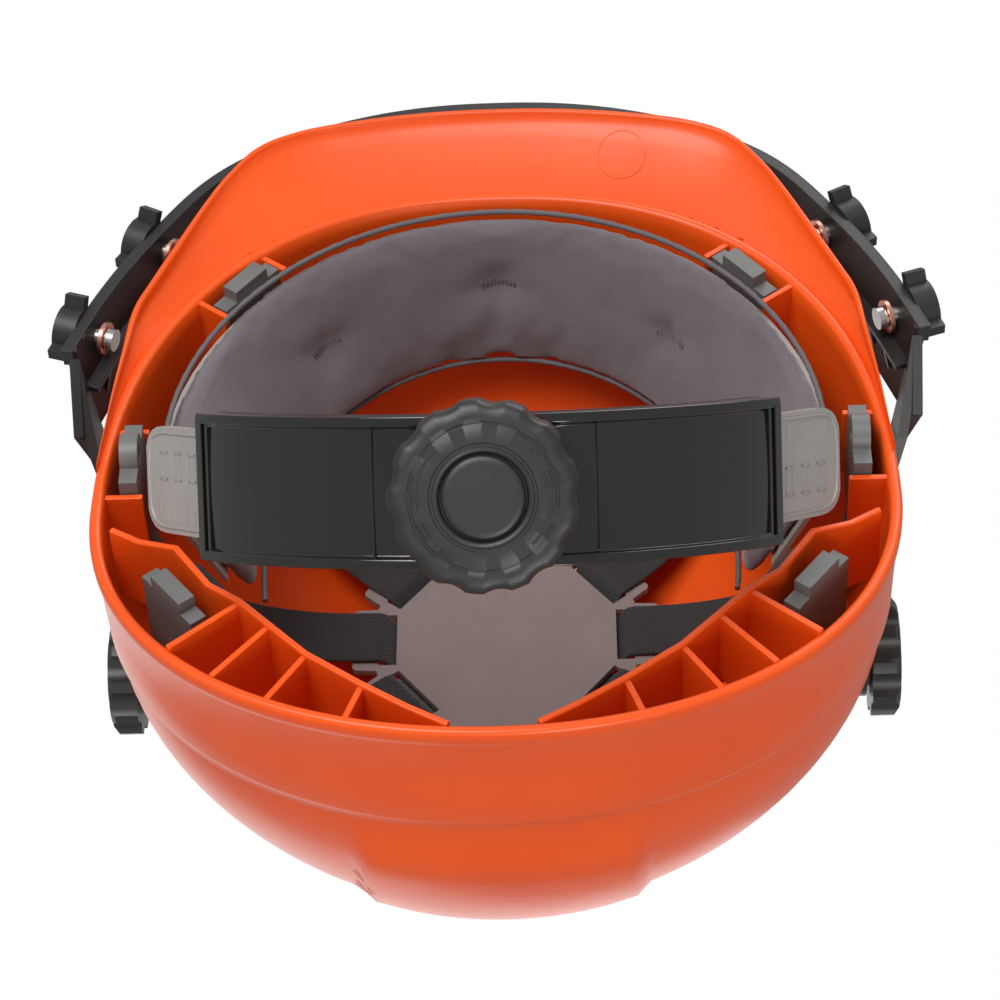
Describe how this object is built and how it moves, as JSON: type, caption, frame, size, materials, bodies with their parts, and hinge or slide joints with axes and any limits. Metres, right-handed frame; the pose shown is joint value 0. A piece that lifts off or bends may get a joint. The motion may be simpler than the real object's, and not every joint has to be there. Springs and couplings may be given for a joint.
{
  "type": "forestry helmet",
  "caption": "Hard shell safety helmet with a peak, webbing cradle, padded headband, geared nape adjuster and a swinging visor carrier.",
  "frame": {"origin": "middle of the head opening, at the height of the side rim", "axes": "+Z towards the crown, -Y the way the wearer faces, +X the wearer's left; the longest extent runs along Y"},
  "size_m": [0.2688, 0.273, 0.2294],
  "materials": {
    "orange_shell": "satin moulded orange",
    "steel": "plain steel",
    "grey_clip": "dark grey moulded",
    "webbing": "black woven webbing",
    "pad_grey": "warm grey matt",
    "light_grey": "light grey moulded",
    "sweat_fabric": "grey woven fabric over foam",
    "gloss_black": "polished black",
    "matte_black": "fine textured black",
    "copper_washer": "copper coloured washer",
    "grey_washer": "nylon washer"
  },
  "bodies": {
    "helmet": {"shell": "orange_shell", "stud_left": "steel", "stud_right": "steel", "stud_nut_left": "steel", "stud_nut_right": "steel", "clip_front_left": "grey_clip", "clip_front_right": "grey_clip", "clip_mid_left": "grey_clip", "clip_mid_right": "grey_clip", "clip_rear_left": "grey_clip", "clip_rear_right": "grey_clip", "strap_cross": "webbing", "strap_diag_a": "webbing", "strap_diag_b": "webbing", "crown_pad": "pad_grey", "headband": "light_grey", "sweatband": "sweat_fabric", "hanger_left": "gloss_black", "hanger_right": "gloss_black", "button_left": "matte_black", "button_right": "matte_black", "nape_housing": "gloss_black", "nape_back": "matte_black", "lock_ring": "matte_black"},
    "adjuster_gear": {"pinion": "matte_black"},
    "knob": {"adjuster_knob": "matte_black", "knob_cap": "matte_black"},
    "tongue_left": {"tongue_left": "light_grey"},
    "tongue_right": {"tongue_right": "light_grey"},
    "visor": {"carrier": "matte_black", "arm_left": "matte_black", "arm_right": "matte_black", "screw_front_left": "steel", "screw_front_right": "steel", "screw_side_left": "steel", "screw_side_right": "steel", "washer_front_left": "copper_washer", "washer_front_right": "copper_washer", "washer_side_left": "copper_washer", "washer_side_right": "copper_washer", "nut_front_left": "matte_black", "nut_front_right": "matte_black", "nut_side_left": "matte_black", "nut_side_right": "matte_black", "screw_centre": "steel", "nut_centre": "matte_black", "pivot_washer_left": "grey_washer", "pivot_washer_right": "grey_washer"},
    "pivot_knob_left": {"pivot_knob_left": "matte_black"},
    "pivot_knob_right": {"pivot_knob_right": "matte_black"}
  },
  "joints": [
    {"name": "adjuster_turn", "type": "hinge", "parent": "helmet", "child": "adjuster_gear", "pos_m": [0, 0.08748, -0.05714], "axis": [0, 0.766, -0.6428], "range_deg": [-55, 55]},
    {"name": "knob_pull", "type": "slide", "parent": "adjuster_gear", "child": "knob", "axis": [0, 0.766, -0.6428], "range_m": [0, 0.003]},
    {"name": "tongue_left_slide", "type": "hinge", "parent": "helmet", "child": "tongue_left", "pos_m": [0, 0.017, 0.002], "axis": [0, 0.6428, 0.766], "range_deg": [-5, 5]},
    {"name": "tongue_right_slide", "type": "hinge", "parent": "helmet", "child": "tongue_right", "pos_m": [0, 0.017, 0.002], "axis": [0, 0.6428, 0.766], "range_deg": [-5, 5]},
    {"name": "visor_swing", "type": "hinge", "parent": "helmet", "child": "visor", "pos_m": [0, 0.028, 0.078], "axis": [-1, 0, 0], "range_deg": [0, 95]},
    {"name": "pivot_knob_left_turn", "type": "hinge", "parent": "helmet", "child": "pivot_knob_left", "pos_m": [0.1102, 0.028, 0.078], "axis": [1, 0, 0], "range_deg": [-90, 90]},
    {"name": "pivot_knob_right_turn", "type": "hinge", "parent": "helmet", "child": "pivot_knob_right", "pos_m": [-0.1102, 0.028, 0.078], "axis": [-1, 0, 0], "range_deg": [-90, 90]}
  ],
  "couplings": [
    {"joint": "tongue_left_slide", "follows": "adjuster_turn", "ratio": -0.086022},
    {"joint": "tongue_right_slide", "follows": "adjuster_turn", "ratio": 0.086022}
  ]
}
